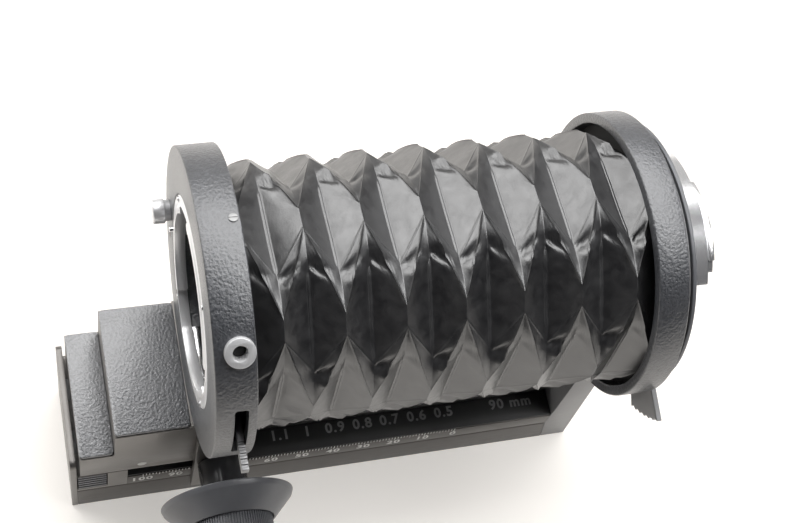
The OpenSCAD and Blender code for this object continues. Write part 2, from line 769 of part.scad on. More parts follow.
spigot_end = lever_x0 + lever_w - 0.6 - lens_x0;
shoulder_r = bayonet_r - 2.2;
module lens_ring() {
    c = 0.6;
    r = lens_ring_r;
    seat = bayonet_t - bayonet_proud;
    color([0.2, 0.2, 0.21]) difference() {
        x_turned(lens_x0, [
            [shoulder_r, spigot_end], [shoulder_r, seat], [bayonet_r, seat], [bayonet_r, 0],
            [r - c, 0], [r, c], [r, lens_ring_t - c], [r - c, lens_ring_t], [ring_bore, lens_ring_t],
            [ring_bore, front_wall], [sd_ring_in - fit, front_wall], [sd_ring_in - fit, spigot_end]
        ]);
        on_axis(lens_x0 - 1, button_reach, button_angle) rotate([0, 90, 0])
            cylinder(h = front_wall + 2, r = button_r - 0.6 + fit);
        on_axis(lens_x0, pin_reach, button_angle) rotate([0, 90, 0])
            cylinder(h = lens_ring_t, r = 0.8 + fit);
        translate([lens_x0 + front_wall, 0, axis_h]) rotate([button_angle, 0, 0])
            translate([0, shoulder_r - 3, -1.8]) cube([lens_ring_t, 8, 3.6]);
        outward(socket_x, socket_in, socket_angle)
            cylinder(h = lens_ring_r, r = socket_r - 1);
        outward(socket_x, lens_ring_r - socket_sink, socket_angle)
            cylinder(h = lens_ring_r, r = socket_r + 0.02);
        for (a = rim_screw_angles) outward(lens_x1 - 1.8, lens_ring_r - 0.1, a)
            cylinder(h = 2, r = rim_screw_r + 0.02);
        wedge(slot_x0, slot_x0 + slot_w, lever_angle + 4 - stop_down_turn - 8, lever_angle + 4);
        on_axis(lens_x0 - 1, (bayonet_r + lens_ring_r) / 2, -31) rotate([0, 90, 0])
            cylinder(h = 1.3, r = dot_r - 0.2);
    }
}

module lens_bayonet() {
    notch = 13;
    color([0.8, 0.8, 0.81]) difference() {
        x_turned(bay_x0, [
            [bayonet_bore_r, 0], [bayonet_bore_r + 1.8, 0], [bayonet_bore_r + 2.2, 0.4],
            [bayonet_r - 0.4, 0.4], [bayonet_r, 0.8], [bayonet_r, bayonet_t], [bayonet_bore_r, bayonet_t]
        ]);
        intersection() {
            x_rod(bay_x0 - 1, bay_x1 + 1, lug_r + 0.3);
            for (k = [0:2]) wedge(bay_x0 - 2, bay_x1 + 2, 120 * k + 50 - notch, 120 * k + 50 + notch);
        }
        on_axis(bay_x0 - 1, pin_reach, button_angle) rotate([0, 90, 0])
            cylinder(h = bayonet_t + 2, r = 0.8 + fit);
    }
}

spring_len = 3.4;
spring_t = 0.8;
module bayonet_springs() {
    color("silver") for (k = [0:2]) intersection() {
        x_tube(bay_x1, bay_x1 + spring_len, shoulder_r, shoulder_r - spring_t);
        wedge(bay_x0, bay_x1 + 2 * spring_len, 120 * k - 2, 120 * k + 38);
    }
}

module bayonet_screws() {
    color("gray") for (k = [0:3]) on_axis(bay_x0 + 0.4, bayonet_r - bayonet_rim / 3.77, 28 + 90 * k)
        rotate([0, -90, 0]) slotted_head(0.85, 0.3);
}

module cable_socket() {
    color([0.85, 0.85, 0.86]) difference() {
        outward(socket_x, 0, socket_angle) union() {
            translate([0, 0, socket_in]) cylinder(h = lens_ring_r - socket_in, r = socket_r - 1.02);
            translate([0, 0, lens_ring_r - socket_sink])
                cylinder(h = socket_rise + socket_sink, r = socket_r);
        }
        outward(socket_x, ring_bore, socket_angle) cylinder(h = lens_ring_r, r = socket_bore_r);
    }
}

module rim_screws() {
    color("silver") for (a = rim_screw_angles)
        outward(lens_x1 - 1.8, lens_ring_r - 0.1, a) slotted_head(rim_screw_r, rim_screw_h);
}

link_x0 = lens_x0 + front_wall + link_gap;
module release_button() {
    c = 0.4;
    neck = link_x0 - lens_x0 + button_len;
    cap = button_len - button_travel - 0.3;
    color([0.85, 0.85, 0.86]) on_axis(lens_x0 - button_len, button_reach, button_angle)
        rotate([0, 90, 0]) rotate_extrude() polygon([
            [0, 0], [button_r - c, 0], [button_r, c], [button_r, cap], [button_r - 0.6, cap],
            [button_r - 0.6, neck], [0, neck]
        ]);
}

module lock_pin() {
    color("silver") on_axis(bay_x0 - 0.9, pin_reach, button_angle) rotate([0, 90, 0])
        cylinder(h = link_x0 - bay_x0 + 0.9, r = 0.8);
}

module lock_link() {
    color("silver") translate([link_x0, 0, axis_h]) rotate([button_angle, 0, 0])
        translate([0, pin_reach - link_w / 2, -link_w / 2])
            cube([link_t, button_reach - pin_reach + link_w, link_w]);
}

module stop_down_ring() {
    color([0.3, 0.3, 0.3]) x_tube(lever_x0 + 0.3, lever_x0 + lever_w - 0.3, sd_ring_r, sd_ring_in);
}

module stop_down_lever() {
    reach = lens_ring_r + stop_down_reach;
    color([0.16, 0.16, 0.16]) difference() {
        translate([0, 0, axis_h]) rotate([lever_angle - 180, 0, 0]) difference() {
            block([lever_x0, -reach, -lever_t / 2], [lever_x0 + lever_w, -sd_ring_in, lever_t / 2]);
            for (i = [0:4]) block([lever_x0 - 1, -reach + 0.8 + 1.5 * i, lever_t / 2 - 0.5],
                                  [lever_x0 + lever_w + 1, -reach + 1.5 + 1.5 * i, lever_t]);
        }
        x_rod(lever_x0 - 1, lever_x0 + lever_w + 1, sd_ring_r);
    }
}

// ---- drive ----

knob_y = -half_w - apron_t - collar_len - face_gap;

knob_floor = knob_rim + 2;
recess_r = clamp_r + 0.4;
knob_front_r = knob_r - knob_taper;
module drive_knob() {
    color([0.1, 0.1, 0.1]) on_shaft(knob_y, [
        [shaft_r, 0], [knob_r - 0.4, 0], [knob_r, 0.4], [knob_front_r, knob_rim],
        [recess_r + 0.6, knob_rim + knob_cone], [recess_r, knob_rim + knob_cone],
        [recess_r, knob_floor], [shaft_r, knob_floor]
    ]);
}

module drive_shaft() {
    color("silver") difference() {
        shaft_rod(knob_y - knob_floor, clamp_y1 - 0.4, shaft_r);
        shaft_rod(knob_y - knob_floor - 1, clamp_y1, clamp_rod_r + fit);
    }
}

// One flank point of the pinion's involute, as [radius, angle from the tooth's middle]
function flank(r) = let (
    rb = pitch_r * cos(pressure),
    rr = max(r, rb),
    inv = tan(acos(rb / rr)) * 180 / PI - acos(rb / rr),
    inv0 = tan(pressure) * 180 / PI - pressure,
    half = (rack_pitch / 2 - backlash) / 2 / pitch_r * 180 / PI
) [r, half + inv0 - inv];

module pinion() {
    m = gear_module;
    radii = [
        pitch_r - 1.25 * m, pitch_r * cos(pressure), pitch_r - 0.3 * m, pitch_r, pitch_r + 0.4 * m,
        pitch_r + 0.8 * m, pitch_r + m
    ];
    color("silver") difference() {
        translate([shaft_x, pinion_w / 2, shaft_z]) rotate([90, 0, 0]) linear_extrude(pinion_w) polygon([
            for (k = [0:pinion_teeth - 1]) each concat(
                [for (r = radii)
                    let (f = flank(r), a = 270 + k * 360 / pinion_teeth - f[1])
                    [r * cos(a), r * sin(a)]],
                [for (i = [len(radii) - 1:-1:0])
                    let (f = flank(radii[i]), a = 270 + k * 360 / pinion_teeth + f[1])
                    [radii[i] * cos(a), radii[i] * sin(a)]]
            )
        ]);
        shaft_rod(-pinion_w, pinion_w, shaft_r);
    }
}

clamp_y = knob_y - knob_floor - face_gap;
clamp_end = knob_y - knob_rim - knob_cone - clamp_len;

module clamp_knob() {
    groove = 0.45;
    edge = 0.8;
    color([0.14, 0.14, 0.14]) {
        translate([shaft_x, clamp_y, shaft_z]) rotate([90, 0, 0])
            linear_extrude(clamp_y - clamp_end - edge) polygon([
                for (k = [0:2 * clamp_ribs - 1])
                    let (a = k * 180 / clamp_ribs, r = clamp_r - (k % 2) * groove)
                    [r * cos(a), r * sin(a)]
            ]);
        translate([shaft_x, clamp_end + edge + touch, shaft_z]) rotate([90, 0, 0])
            cylinder(h = edge + touch, r1 = clamp_r - groove, r2 = clamp_r - groove - edge);
    }
}

module clamp_rod() {
    color("silver") {
        shaft_rod(clamp_y, clamp_y1 + 0.2, clamp_rod_r);
        shaft_rod(clamp_y1 + 0.1, clamp_y1 + 1.6, shaft_r + 1);
    }
}

module clamp_screw() {
    color("silver") translate([shaft_x, clamp_end, shaft_z]) rotate([90, 0, 0]) slotted_head(3, 0.6);
}

// ---- marks ----

module index_dot() {
    color("white") dot_place(car_x0 + dot_x, car_z0 + dot_z, 0);
}

module mount_index() {
    color("red") on_axis(lens_x0, (bayonet_r + lens_ring_r) / 2, -31) rotate([0, 90, 0])
        cylinder(h = 0.3, r = dot_r - 0.2);
}

rail_base();
rail_body();
top_plate();
guide_bar_front();
guide_bar_rear();
rack();
end_block();
end_plate();
end_plate_screws();
end_catch();
camera_post();
post_screws();
camera_ring();
bellows();
bellows_front_frame();
bellows_rear_frame();
tripod_bush();
carriage_body();
carriage_cover();
step_cover();
slide_gib_front();
slide_gib_rear();
gear_apron();
shaft_collar();
lens_pedestal();
lens_ring();
lens_bayonet();
bayonet_springs();
bayonet_screws();
cable_socket();
rim_screws();
release_button();
lock_pin();
lock_link();
stop_down_ring();
stop_down_lever();
drive_knob();
drive_shaft();
pinion();
clamp_knob();
clamp_rod();
clamp_screw();
lock_ring();
rotating_flange();
mount_retainer();
camera_mount();
male_bayonet();
mount_screws();
index_dot();
mount_index();
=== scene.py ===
"""Dresses the macro bellows unit: finishes, marks, folded bellows and studio light."""

from __future__ import annotations

import logging
import math
import random
from collections.abc import Sequence
from dataclasses import dataclass, field
from enum import Enum

import bpy
import bmesh
from mathutils import Matrix, Vector, noise
from mathutils.kdtree import KDTree

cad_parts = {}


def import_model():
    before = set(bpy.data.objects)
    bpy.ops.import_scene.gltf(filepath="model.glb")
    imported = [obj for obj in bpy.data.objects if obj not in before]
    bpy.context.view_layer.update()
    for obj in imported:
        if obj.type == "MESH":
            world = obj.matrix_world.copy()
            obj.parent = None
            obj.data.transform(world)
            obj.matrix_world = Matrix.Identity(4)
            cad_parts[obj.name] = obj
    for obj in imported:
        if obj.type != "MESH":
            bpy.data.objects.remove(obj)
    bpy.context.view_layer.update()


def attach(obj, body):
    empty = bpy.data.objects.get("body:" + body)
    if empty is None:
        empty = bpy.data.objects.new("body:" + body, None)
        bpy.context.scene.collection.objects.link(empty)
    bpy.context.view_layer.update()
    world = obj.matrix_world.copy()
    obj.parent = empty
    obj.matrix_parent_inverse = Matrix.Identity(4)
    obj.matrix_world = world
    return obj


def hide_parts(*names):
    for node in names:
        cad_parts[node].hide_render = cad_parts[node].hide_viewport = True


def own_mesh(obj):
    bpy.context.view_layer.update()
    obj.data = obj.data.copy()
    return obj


LOG = logging.getLogger("macro_bellows")
MM = 0.001
Point = tuple[float, float, float]
Place = Point | Vector
Profile = Sequence[tuple[float, float]]
Socket = bpy.types.NodeSocket
Piece = bpy.types.Object


class Body(Enum):
    """The bodies that a piece can ride on."""

    RAIL = "rail"
    CATCH = "end_catch"
    CARRIAGE = "lens_carriage"
    RELEASE = "lens_release"
    STOP_DOWN = "stop_down"
    DRIVE = "drive_knob"
    CLAMP = "clamp_knob"
    MOUNT = "camera_mount"
    LOCK = "rotation_lock"


# ---- finishes


def add_node(tree: bpy.types.NodeTree, kind: str, **values: object) -> bpy.types.Node:
    """Adds a node to a tree and sets its inputs.

    Args:
        tree: the node tree.
        kind: the node's kind, without its prefix.
        **values: input names with underscores for spaces, and their values.

    Returns:
        The node.
    """
    node = tree.nodes.new("ShaderNode" + kind)
    for key, value in values.items():
        node.inputs[key.replace("_", " ")].default_value = value
    return node


def add_ramp(tree: bpy.types.NodeTree, value: Socket, low: float, high: float,
             dark: Point, light: Point) -> bpy.types.Node:
    """Turns a value into a colour between two colours.

    Args:
        tree: the node tree.
        value: the value that drives it.
        low: where the first colour ends.
        high: where the second colour starts.
        dark: the first colour.
        light: the second colour.

    Returns:
        The ramp's node.
    """
    node = add_node(tree, "ValToRGB")
    for element, place, colour in zip(node.color_ramp.elements, (low, high), (dark, light)):
        element.position = place
        element.color = (*colour, 1.0)
    tree.links.new(value, node.inputs["Fac"])
    return node


class Recipe:
    """A material under construction, with a few named moves on its node tree."""

    def __init__(self, name: str) -> None:
        """Starts a material with one shader and object coordinates in millimetres.

        Args:
            name: the material's name.
        """
        self.material = bpy.data.materials.new(name)
        self.material.use_nodes = True
        self.tree = self.material.node_tree
        self.wire = self.tree.links.new
        self.shader = self.tree.nodes["Principled BSDF"]
        coords = add_node(self.tree, "TexCoord")
        mapping = add_node(self.tree, "Mapping", Scale=(1 / MM,) * 3)
        self.wire(coords.outputs["Object"], mapping.inputs["Vector"])
        self.place = mapping.outputs["Vector"]

    def set(self, **values: object) -> None:
        """Sets constants on the shader's own sockets.

        Args:
            **values: socket names with underscores for spaces, and their values.
        """
        for key, value in values.items():
            self.shader.inputs[key.replace("_", " ")].default_value = value

    def link(self, output: Socket, socket: str) -> None:
        """Links an output to one of the shader's sockets.

        Args:
            output: the socket that the value comes from.
            socket: the shader socket's name.
        """
        self.wire(output, self.shader.inputs[socket])

    def stretched(self, scale: Point) -> Socket:
        """Stretches the millimetre coordinates.

        Args:
            scale: the factor along each axis.

        Returns:
            The stretched coordinates.
        """
        node = add_node(self.tree, "Mapping", Scale=scale)
        self.wire(self.place, node.inputs["Vector"])
        return node.outputs["Vector"]

    def noise(self, scale: float, detail: float = 3.0, rough: float = 0.55,
              bend: float = 0.0, place: Socket | None = None) -> Socket:
        """Adds cloudy noise.

        Args:
            scale: features per millimetre.
            detail: how many finer layers it has.
            rough: how strong the finer layers are.
            bend: how far the noise bends itself.
            place: other coordinates, if any.

        Returns:
            The noise value from 0 to 1.
        """
        node = add_node(self.tree, "TexNoise", Scale=scale, Detail=detail, Roughness=rough,
                        Distortion=bend)
        self.wire(place or self.place, node.inputs["Vector"])
        return node.outputs["Fac"]

    def cells(self, scale: float) -> Socket:
        """Adds soft cells, as in crinkle paint or grain.

        Args:
            scale: cells per millimetre.

        Returns:
            The distance to the cell's middle.
        """
        node = add_node(self.tree, "TexVoronoi", Scale=scale)
        node.feature = "SMOOTH_F1"
        node.inputs["Smoothness"].default_value = 0.8
        self.wire(self.place, node.inputs["Vector"])
        return node.outputs["Distance"]

    def ramp(self, socket: str, value: Socket, low: float, high: float,
             dark: Point, light: Point) -> None:
        """Lets one of the shader's sockets follow a value, as add_ramp turns it into a colour."""
        self.link(add_ramp(self.tree, value, low, high, dark, light).outputs["Color"], socket)

    def mottle(self, value: Socket, low: float, high: float,
               rough: float, less: float, more: float) -> None:
        """Lets the roughness follow a value, from less than rough to more."""
        self.ramp("Roughness", value, low, high, (rough - less,) * 3, (rough + more,) * 3)

    def math(self, kind: str, a: Socket, b: Socket | float) -> Socket:
        """Adds one sum.

        Args:
            kind: the operation, such as ADD.
            a: the first value.
            b: the second value.

        Returns:
            The result.
        """
        node = add_node(self.tree, "Math")
        node.operation = kind
        self.wire(a, node.inputs[0])
        if isinstance(b, float):
            node.inputs[1].default_value = b
        else:
            self.wire(b, node.inputs[1])
        return node.outputs[0]

    def mixed(self, a: Socket, a_share: float, b: Socket, b_share: float) -> Socket:
        """Adds two values, each with its share."""
        return self.math("ADD", self.math("MULTIPLY", a, a_share), self.math("MULTIPLY", b, b_share))

    def bump(self, height: Socket, depth_mm: float) -> None:
        """Roughens the surface's normal.

        Args:
            height: the height from 0 to 1.
            depth_mm: how deep a full step is.
        """
        node = add_node(self.tree, "Bump", Strength=1.0, Distance=depth_mm * MM)
        self.wire(height, node.inputs["Height"])
        self.link(node.outputs["Normal"], "Normal")


@dataclass(frozen=True)
class CrinklePaint:
    """Black wrinkled enamel with a cool sheen; its default colours are lightened, painted light for
    the lit tops of the covers.
    """

    name: str = "crinkle_paint_painted_light"
    slot: str = "crinkle_black"
    dark: Point = (0.040, 0.042, 0.047)
    light: Point = (0.085, 0.089, 0.098)
    wrinkles_per_mm: float = 1.25
    cloud_ratio: float = 1.7
    depth_mm: float = 0.19
    reflecting: float = 2.25
    rough: float = 0.33

    def make(self) -> bpy.types.Material:
        """Builds the material."""
        recipe = Recipe(self.name)
        cells = recipe.cells(self.wrinkles_per_mm)
        cloud = recipe.noise(self.wrinkles_per_mm * self.cloud_ratio, rough=0.6, bend=0.6)
        height = recipe.mixed(cells, 0.55, cloud, 0.6)
        recipe.ramp("Base Color", height, 0.35, 0.85, self.dark, self.light)
        recipe.bump(height, self.depth_mm)
        recipe.set(Roughness=self.rough, IOR=self.reflecting)
        return recipe.material


@dataclass(frozen=True)
class SatinMetal:
    """Dyed or bare metal with a fine brushed grain along X."""

    name: str
    slot: str
    dark: Point
    light: Point
    metallic: float = 0.7
    rough: float = 0.38
    grain: Point = (0.15, 2.5, 2.5)
    grain_per_mm: float = 1.2
    haze_per_mm: float = 0.06
    depth_mm: float = 0.006

    def make(self) -> bpy.types.Material:
        """Builds the material."""
        recipe = Recipe(self.name)
        grain = recipe.noise(
            self.grain_per_mm, detail=4.0, rough=0.6, place=recipe.stretched(self.grain))
        haze = recipe.noise(self.haze_per_mm, rough=0.5)
        mixed = recipe.mixed(grain, 0.4, haze, 0.6)
        recipe.ramp("Base Color", mixed, 0.3, 0.7, self.dark, self.light)
        recipe.mottle(grain, 0.3, 0.7, self.rough, 0.05, 0.06)
        recipe.bump(grain, self.depth_mm)
        recipe.set(Metallic=self.metallic)
        return recipe.material


@dataclass(frozen=True)
class SmoothPaint:
    """Even paint or anodising with a faint mottling."""

    name: str
    slot: str
    dark: Point
    light: Point
    rough: float = 0.4
    depth_mm: float = 0.01
    grain_per_mm: float = 3.0
    mottles_per_mm: float = 0.09

    def make(self) -> bpy.types.Material:
        """Builds the material."""
        recipe = Recipe(self.name)
        fine = recipe.noise(self.grain_per_mm, rough=0.6)
        broad = recipe.noise(self.mottles_per_mm)
        recipe.ramp("Base Color", broad, 0.35, 0.7, self.dark, self.light)
        recipe.bump(fine, self.depth_mm)
        recipe.set(Roughness=self.rough)
        return recipe.material


@dataclass(frozen=True)
class PolishedMetal:
    """Chrome with fine turning marks."""

    name: str = "chrome"
    slot: str = "chrome"
    tint: Point = (0.83, 0.83, 0.84)
    rough: float = 0.13
    metallic: float = 1.0
    grain: Point = (6.0, 0.5, 0.5)
    marks_per_mm: float = 0.8
    mark_tone: float = 0.93

    def make(self) -> bpy.types.Material:
        """Builds the material."""
        recipe = Recipe(self.name)
        marks = recipe.noise(
            self.marks_per_mm, detail=5.0, rough=0.65, place=recipe.stretched(self.grain))
        low = tuple(c * self.mark_tone for c in self.tint)
        recipe.ramp("Base Color", marks, 0.3, 0.7, low, self.tint)
        recipe.mottle(marks, 0.3, 0.7, self.rough, 0.03, 0.05)
        recipe.set(Metallic=self.metallic)
        return recipe.material


@dataclass(frozen=True)
class Leatherette:
    """Thin black coated cloth, semi-gloss, with a fine grain."""

    name: str = "leatherette"
    slot: str = "leatherette"
    dark: Point = (0.009, 0.009, 0.010)
    light: Point = (0.022, 0.022, 0.023)
    rough: float = 0.36
    grain_per_mm: float = 3.6
    grain_share: float = 0.35
    clouds_per_mm: float = 0.35
    depth_mm: float = 0.04
    reflecting: float = 2.0

    def make(self) -> bpy.types.Material:
        """Builds the material."""
        recipe = Recipe(self.name)
        grain = recipe.cells(self.grain_per_mm)
        cloud = recipe.noise(self.clouds_per_mm, detail=4.0, rough=0.6, bend=0.3)
        recipe.ramp("Base Color", cloud, 0.35, 0.7, self.dark, self.light)
        recipe.mottle(cloud, 0.3, 0.75, self.rough, 0.05, 0.08)
        height = recipe.math("ADD", recipe.math("MULTIPLY", grain, self.grain_share), cloud)
        recipe.bump(height, self.depth_mm)
        recipe.set(IOR=self.reflecting)
        return recipe.material


Finish = CrinklePaint | SatinMetal | SmoothPaint | PolishedMetal | Leatherette


class Palette:
    """Every finish of the unit, made once."""

    def __init__(self) -> None:
        """Makes all the materials."""
        self.recipes: dict[str, Finish] = {
            "crinkle": CrinklePaint(),
            # the same crinkle paint in darker colours: painted shade on the lens and camera rings
            "ring_crinkle_painted_shade": CrinklePaint(
                "ring_crinkle_painted_shade", dark=(0.030, 0.032, 0.036), light=(0.066, 0.069, 0.078),
                reflecting=1.9),
            "anodised": SatinMetal(
                "dark_anodising", "anodised", (0.15, 0.142, 0.134), (0.21, 0.20, 0.19)),
            "plate": SmoothPaint("plate_black", "matte_black", (0.008,) * 3, (0.013,) * 3, rough=0.5),
            "guide": SatinMetal("guide_metal", "guide_metal", (0.16,) * 3, (0.26,) * 3, metallic=0.9),
            "steel": SatinMetal(
                "steel", "steel", (0.45, 0.45, 0.46), (0.60, 0.60, 0.61), metallic=1.0, rough=0.3),
            "grey": SatinMetal(
                "grey_enamel", "grey_paint", (0.20, 0.20, 0.203), (0.26, 0.26, 0.264),
                metallic=0.6, rough=0.42),
            "gloss": SmoothPaint(
                "satin_black", "gloss_black", (0.11, 0.113, 0.122), (0.135, 0.138, 0.148),
                rough=0.34),
            "chrome": PolishedMetal(),
            "satin": PolishedMetal(
                "satin_chrome", tint=(0.80, 0.80, 0.81), rough=0.34, metallic=0.55),
            "mount": PolishedMetal(
                "mount_chrome", tint=(0.88, 0.88, 0.89), rough=0.2, metallic=0.85),
            # the same dark anodising in darker colours: painted shade on the rail's base and body
            "rail": SatinMetal(
                "rail_anodising_painted_shade", "anodised", (0.062, 0.057, 0.052), (0.088, 0.082, 0.075),
                metallic=0.5),
            "leather": Leatherette(),
            "black_gloss": SmoothPaint(
                "black_gloss", "gloss_black", (0.028, 0.028, 0.03), (0.045, 0.045, 0.048),
                rough=0.2, depth_mm=0.004),
            "inner": SmoothPaint("inner_black", "inner_black", (0.006,) * 3, (0.010,) * 3, rough=0.7),
            "white": SmoothPaint(
                "white_fill", "white_mark", (0.72, 0.72, 0.70), (0.82, 0.82, 0.80), rough=0.5),
            "grey_mark": SmoothPaint("grey_fill", "white_mark", (0.22,) * 3, (0.28,) * 3, rough=0.55),
            "red": SmoothPaint(
                "red_lacquer", "red_mark", (0.42, 0.03, 0.02), (0.55, 0.05, 0.03), rough=0.3),
        }
        self.made = {key: recipe.make() for key, recipe in self.recipes.items()}

    def apply(self, piece: Piece, finish: str) -> None:
        """Gives a piece one finish.

        Args:
            piece: the piece.
            finish: the finish's key.
        """
        piece.data.materials.clear()
        piece.data.materials.append(self.made[finish])


# ---- modelling


class Bench:
    """Modelling moves in millimetres, made with Blender's own operators."""

    @staticmethod
    def clear() -> None:
        """Leaves nothing selected."""
        if bpy.context.mode != "OBJECT":
            bpy.ops.object.mode_set(mode="OBJECT")
        bpy.ops.object.select_all(action="DESELECT")

    @staticmethod
    def pick(piece: Piece) -> None:
        """Selects one piece alone and makes it active."""
        Bench.clear()
        piece.select_set(True)
        bpy.context.view_layer.objects.active = piece

    @staticmethod
    def taken(name: str) -> Piece:
        """Names the new object and moves its place and size into its mesh."""
        piece = bpy.context.active_object
        piece.name = name
        bpy.ops.object.transform_apply(location=True, rotation=True, scale=True)
        return piece

    @staticmethod
    def block(name: str, low: Point, high: Point) -> Piece:
        """Starts a rectangular piece.

        Args:
            name: its name.
            low: its lowest corner.
            high: its highest corner.

        Returns:
            The piece, with its place in its mesh.
        """
        Bench.clear()
        middle = [(a + b) / 2 for a, b in zip(low, high)]
        bpy.ops.mesh.primitive_cube_add(size=1, location=middle)
        bpy.context.active_object.scale = [b - a for a, b in zip(low, high)]
        return Bench.taken(name)

    @staticmethod
    def rod(name: str, start: Place, end: Place, radius: float, sides: int) -> Piece:
        """Starts a round rod between two points.

        Args:
            name: its name.
            start: one end's middle.
            end: the other end's middle.
            radius: its radius.
            sides: how many sides it has.

        Returns:
            The piece, with its place in its mesh.
        """
        Bench.clear()
        a, b = Vector(start), Vector(end)
        turn = (b - a).to_track_quat("Z", "Y").to_euler()
        bpy.ops.mesh.primitive_cylinder_add(
            vertices=sides, radius=radius, depth=(b - a).length, location=(a + b) / 2, rotation=turn)
        return Bench.taken(name)

    @staticmethod
    def turned(name: str, profile: Profile, origin: Point, along: Point, steps: int) -> Piece:
        """Turns a closed profile on a lathe.

        Args:
            name: the piece's name.
            profile: points as radius and distance along the axis.
            origin: a point on the axis.
            along: the axis's direction.
            steps: how many steps make the full turn.

        Returns:
            The turned piece.
        """
        Bench.clear()
        axis = Vector(along).normalized()
        side = Vector((0, 0, 1)) if abs(axis.z) < 0.9 else Vector((0, 1, 0))
        points = [Vector(origin) + axis * d + side * r for r, d in profile]
        bpy.ops.mesh.primitive_plane_add(size=1, location=(0, 0, 0))
        piece = bpy.context.active_object
        piece.name = name
        bpy.ops.object.mode_set(mode="EDIT")
        bpy.ops.mesh.select_all(action="SELECT")
        bpy.ops.mesh.merge(type="CENTER")
        bpy.ops.transform.translate(value=points[0])
        for before, after in zip(points, points[1:]):
            bpy.ops.mesh.extrude_region_move(TRANSFORM_OT_translate={"value": after - before})
        mesh = bmesh.from_edit_mesh(piece.data)
        mesh.verts.ensure_lookup_table()
        for vertex in mesh.verts:
            vertex.select_set(False)
        mesh.verts[0].select_set(True)
        mesh.verts[len(mesh.verts) - 1].select_set(True)
        bmesh.update_edit_mesh(piece.data)
        bpy.ops.mesh.edge_face_add()
        bpy.ops.mesh.select_all(action="SELECT")
        bpy.ops.mesh.spin(steps=steps, angle=math.tau, center=origin, axis=axis)
        bpy.ops.mesh.select_all(action="SELECT")
        bpy.ops.mesh.remove_doubles(threshold=0.003)
        bpy.ops.mesh.normals_make_consistent(inside=False)
        bpy.ops.object.mode_set(mode="OBJECT")
        return piece

    @staticmethod
    def cad_copy(node: str) -> Piece:
        """Copies a CAD node's mesh, merges it and melts its flat faces.

        Args:
            node: the node's name.

        Returns:
            The copy, in millimetres.
        """
        source = bpy.data.objects[node]
        piece = bpy.data.objects.new(node + "_dressed", source.data.copy())
        bpy.context.scene.collection.objects.link(piece)
        piece.data.transform(Matrix.Scale(1 / MM, 4))
        piece.data.materials.clear()
        Bench.pick(piece)
        bpy.ops.object.mode_set(mode="EDIT")
        bpy.ops.mesh.select_all(action="SELECT")
        bpy.ops.mesh.remove_doubles(threshold=0.002)
        bpy.ops.mesh.dissolve_limited(angle_limit=math.radians(1.0))
        bpy.ops.object.mode_set(mode="OBJECT")
        return piece

    @staticmethod
    def cut(piece: Piece, tool: Piece) -> None:
        """Takes a tool's shape out of a piece and removes the tool.

        Args:
            piece: the piece.
            tool: the other solid.
        """
        Bench.pick(piece)
        modifier = piece.modifiers.new("cut", "BOOLEAN")
        modifier.operation = "DIFFERENCE"
        modifier.solver = "EXACT"
        modifier.object = tool
        bpy.ops.object.modifier_apply(modifier=modifier.name)
        bpy.data.objects.remove(tool)

    @staticmethod
    def soften(piece: Piece, width: float, steps: int = 2, limit: float = 32.0) -> None:
        """Rounds a piece's edges.

        Args:
            piece: the piece.
            width: the bevel's width.
            steps: its segments.
            limit: edges flatter than this many degrees stay.
        """
        Bench.pick(piece)
        modifier = piece.modifiers.new("edges", "BEVEL")
        modifier.width = width
        modifier.segments = steps
        modifier.limit_method = "ANGLE"
        modifier.angle_limit = math.radians(limit)
        bpy.ops.object.modifier_apply(modifier=modifier.name)

    @staticmethod
    def join(name: str, parts: list[Piece]) -> Piece:
        """Joins several pieces into one.

        Args:
            name: the joined piece's name.
            parts: the pieces.

        Returns:
            The joined piece.
        """
        Bench.clear()
        for part in parts:
            part.select_set(True)
        bpy.context.view_layer.objects.active = parts[0]
        bpy.ops.object.join()
        parts[0].name = name
        return parts[0]


# ---- sub-assemblies


@dataclass
class Assembly:
    """A group of pieces, and how they settle on their bodies."""

    palette: Palette

    def settle(self, piece: Piece, body: Body, finish: str, nodes: tuple[str, ...] = (),
               limit: float = 30.0) -> None:
        """Brings a piece to metres, dresses it and mounts it.

        Args:
            piece: the piece, in millimetres.
            body: the body that carries it.
            finish: the key of its finish.
            nodes: the CAD nodes that it stands for.
            limit: the angle up to which it is shaded smooth.
        """
        Bench.pick(piece)
        bpy.ops.object.shade_smooth_by_angle(angle=math.radians(limit))
        piece.data.transform(Matrix.Scale(MM, 4))
        piece.data.update()
        self.palette.apply(piece, finish)
        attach(piece, body.value)
        if nodes:
            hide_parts(*nodes)
        LOG.info("%s on %s, %d faces", piece.name, body.value, len(piece.data.polygons))

    def edged(self, body: Body, **rows: tuple[str, float]) -> None:
        """Stands copies with rounded edges in for CAD nodes.

        Args:
            body: the body that carries them.
            **rows: the nodes' names, each with its finish and its edges' bevel.
        """
        for node, (finish, width) in rows.items():
            piece = Bench.cad_copy(node)
            Bench.soften(piece, width)
            self.settle(piece, body, finish, (node,))


@dataclass(frozen=True)
class Lettering:
    """Thin raised numbers."""

    height: float
    upright: bool
    digit_share: float = 0.72
    thickness: float = 0.03
    weight: float = 0.04
    spacing: float = 1.16

    def word(self, text: str, place: Point) -> Piece:
        """Makes one word as a thin solid, upright on a front face or flat on a top face.

        Args:
            text: what it says.
            place: the middle of the word, on the surface.

        Returns:
            The word, with its place in its mesh.
        """
        Bench.clear()
        bpy.ops.object.text_add(location=(0, 0, 0))
        curve = bpy.context.active_object.data
        curve.body = text
        curve.size = self.height / self.digit_share
        curve.extrude = self.thickness
        curve.space_character = self.spacing
        curve.offset = self.weight * self.height
        curve.resolution_u = 3
        curve.align_x = curve.align_y = "CENTER"
        bpy.ops.object.convert(target="MESH")
        label = bpy.context.active_object
        xs, ys, _ = zip(*(v.co for v in label.data.vertices))
        shift = Matrix.Translation((-(min(xs) + max(xs)) / 2, -(min(ys) + max(ys)) / 2, 0.0))
        turn = Matrix.Rotation(math.radians(90), 4, "X") if self.upright else Matrix.Identity(4)
        label.data.transform(Matrix.Translation(place) @ turn @ shift)
        return label


